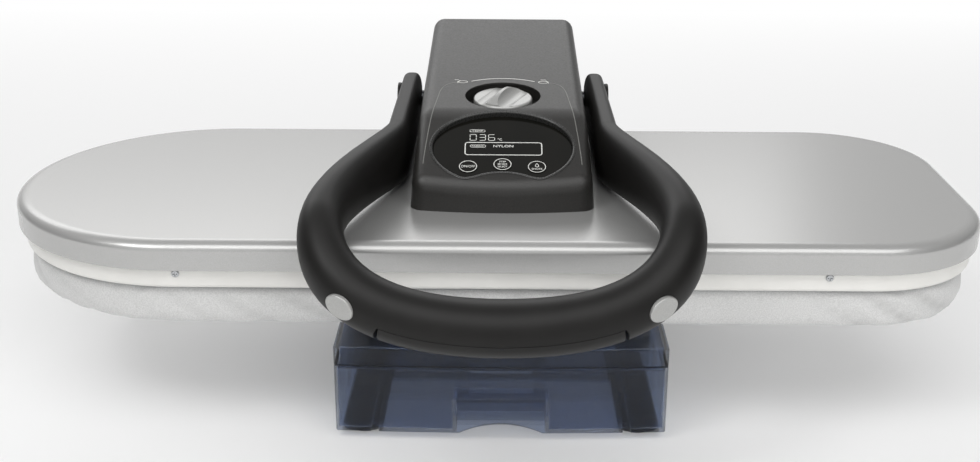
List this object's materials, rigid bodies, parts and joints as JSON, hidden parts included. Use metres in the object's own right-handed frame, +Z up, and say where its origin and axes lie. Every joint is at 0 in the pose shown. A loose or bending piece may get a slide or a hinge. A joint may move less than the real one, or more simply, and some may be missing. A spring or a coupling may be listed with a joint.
{
  "type": "steam ironing press",
  "caption": "Padded ironing board on a base with a hinged heated plate, a looped pressing handle, a sloping dial panel and a slide-out water tank.",
  "frame": {"origin": "centre of the whole part's box at floor level, under the rubber feet", "axes": "+X along the board towards its square end, +Y towards the hinge and the rear, +Z up; the user stands on the -Y side"},
  "size_m": [0.66, 0.4281, 0.2132],
  "materials": {
    "dark_plastic": "moulded charcoal plastic, fine grain",
    "shell_plastic": "dark warm grey plastic, fine grain",
    "black_soft_plastic": "satin black plastic",
    "silver_paint": "satin silver-grey lacquer on sheet metal",
    "white_plastic": "smooth off-white plastic",
    "zinc_steel": "zinc-plated steel",
    "bright_steel": "turned bright steel",
    "black_rubber": "matt black rubber",
    "grey_fabric": "light grey heather woven cotton",
    "foam": "open-cell foam",
    "felt_mat": "heat-resistant felt",
    "smoked_plastic": "translucent smoked blue-grey plastic",
    "clear_hose": "milky silicone",
    "brass": "turned bronze and brass",
    "cast_aluminium": "smooth cast aluminium sole",
    "glossy_black": "glossy black plastic",
    "silver_plastic": "satin silver-lacquered plastic",
    "circuit": "circuit board and modules"
  },
  "bodies": {
    "base": {"base_housing": "dark_plastic", "base_plate": "zinc_steel", "rubber_feet": "black_rubber", "base_screws": "bright_steel", "hinge_tower": "zinc_steel", "tower_cover": "dark_plastic", "tower_bolts": "bright_steel", "hinge_pins": "bright_steel", "pin_clips": "bright_steel", "hinge_springs": "bright_steel", "link_pin": "bright_steel", "board_brackets": "zinc_steel", "board_pan": "zinc_steel", "board_screws": "bright_steel", "foam_pad": "foam", "pad_cover": "grey_fabric", "steam_pump": "white_plastic", "pump_mounts": "black_rubber", "tank_socket": "dark_plastic", "socket_seal": "black_rubber", "feed_hose": "clear_hose", "terminal_block": "white_plastic", "cord_gland": "dark_plastic"},
    "tank": {"tank_body": "smoked_plastic", "tank_lid": "smoked_plastic", "lid_seal": "black_rubber", "tank_valve": "dark_plastic"},
    "tank_cap": {"filler_cap": "dark_plastic"},
    "head": {"arm_frame": "zinc_steel", "hinge_bushes": "brass", "shaft_bushes": "brass", "arm_screws": "bright_steel", "housing_shell": "shell_plastic", "housing_base": "dark_plastic", "panel_bezel": "shell_plastic", "panel_window": "glossy_black", "display_module": "circuit", "control_board": "circuit", "dial_encoder": "circuit", "platen_cover": "silver_paint", "platen_skirt": "white_plastic", "skirt_screws": "bright_steel", "insulation_mat": "felt_mat", "heating_plate": "cast_aluminium", "plate_studs": "bright_steel", "heating_element": "zinc_steel", "thermostat": "white_plastic", "steam_inlet": "brass"},
    "dial": {"temperature_dial": "silver_plastic"},
    "left_key": {"button_left": "glossy_black"},
    "middle_key": {"button_middle": "glossy_black"},
    "right_key": {"button_right": "glossy_black"},
    "handle": {"handle_loop": "black_soft_plastic", "grip_cover": "black_soft_plastic", "cross_shaft": "bright_steel", "handle_crank": "zinc_steel", "pivot_caps": "black_soft_plastic"},
    "left_steam_key": {"steam_button_left": "silver_plastic"},
    "right_steam_key": {"steam_button_right": "silver_plastic"},
    "link": {"toggle_link": "zinc_steel"}
  },
  "joints": [
    {"name": "main_hinge", "type": "hinge", "parent": "base", "child": "head", "pos_m": [0.009, 0.17411, 0.116], "axis": [-1, 0, 0], "range_deg": [0, 45]},
    {"name": "handle_pivot", "type": "hinge", "parent": "head", "child": "handle", "pos_m": [0.009, 0.12711, 0.162], "axis": [-1, 0, 0], "range_deg": [0, 22.5]},
    {"name": "link_pivot", "type": "hinge", "parent": "base", "child": "link", "pos_m": [0.009, 0.18111, 0.098], "axis": [-1, 0, 0], "range_deg": [0, 24.07]},
    {"name": "dial_turn", "type": "hinge", "parent": "head", "child": "dial", "pos_m": [0.009, 0.03392, 0.18866], "axis": [0, 0.0909, -0.9959], "range_deg": [0, 270]},
    {"name": "left_key_press", "type": "slide", "parent": "head", "child": "left_key", "axis": [0, 0.3686, -0.9296], "range_m": [0, 0.0008], "stiffness_N_per_m": 1200, "springref_m": -0.0008},
    {"name": "middle_key_press", "type": "slide", "parent": "head", "child": "middle_key", "axis": [0, 0.3686, -0.9296], "range_m": [0, 0.0008], "stiffness_N_per_m": 1200, "springref_m": -0.0008},
    {"name": "right_key_press", "type": "slide", "parent": "head", "child": "right_key", "axis": [0, 0.3686, -0.9296], "range_m": [0, 0.0008], "stiffness_N_per_m": 1200, "springref_m": -0.0008},
    {"name": "left_steam_press", "type": "slide", "parent": "handle", "child": "left_steam_key", "axis": [0.4763, 0.8765, 0.07], "range_m": [0, 0.002], "stiffness_N_per_m": 900, "springref_m": -0.002},
    {"name": "right_steam_press", "type": "slide", "parent": "handle", "child": "right_steam_key", "axis": [-0.4763, 0.8765, 0.07], "range_m": [0, 0.002], "stiffness_N_per_m": 900, "springref_m": -0.002},
    {"name": "tank_slide", "type": "slide", "parent": "base", "child": "tank", "axis": [0, -1, 0], "range_m": [0, 0.09]},
    {"name": "cap_lift", "type": "slide", "parent": "tank", "child": "tank_cap", "axis": [0, 0, 1], "range_m": [0, 0.008]}
  ],
  "couplings": [
    {"joint": "handle_pivot", "follows": "main_hinge", "ratio": 0.5},
    {"joint": "link_pivot", "follows": "main_hinge", "ratio": 0.535}
  ]
}
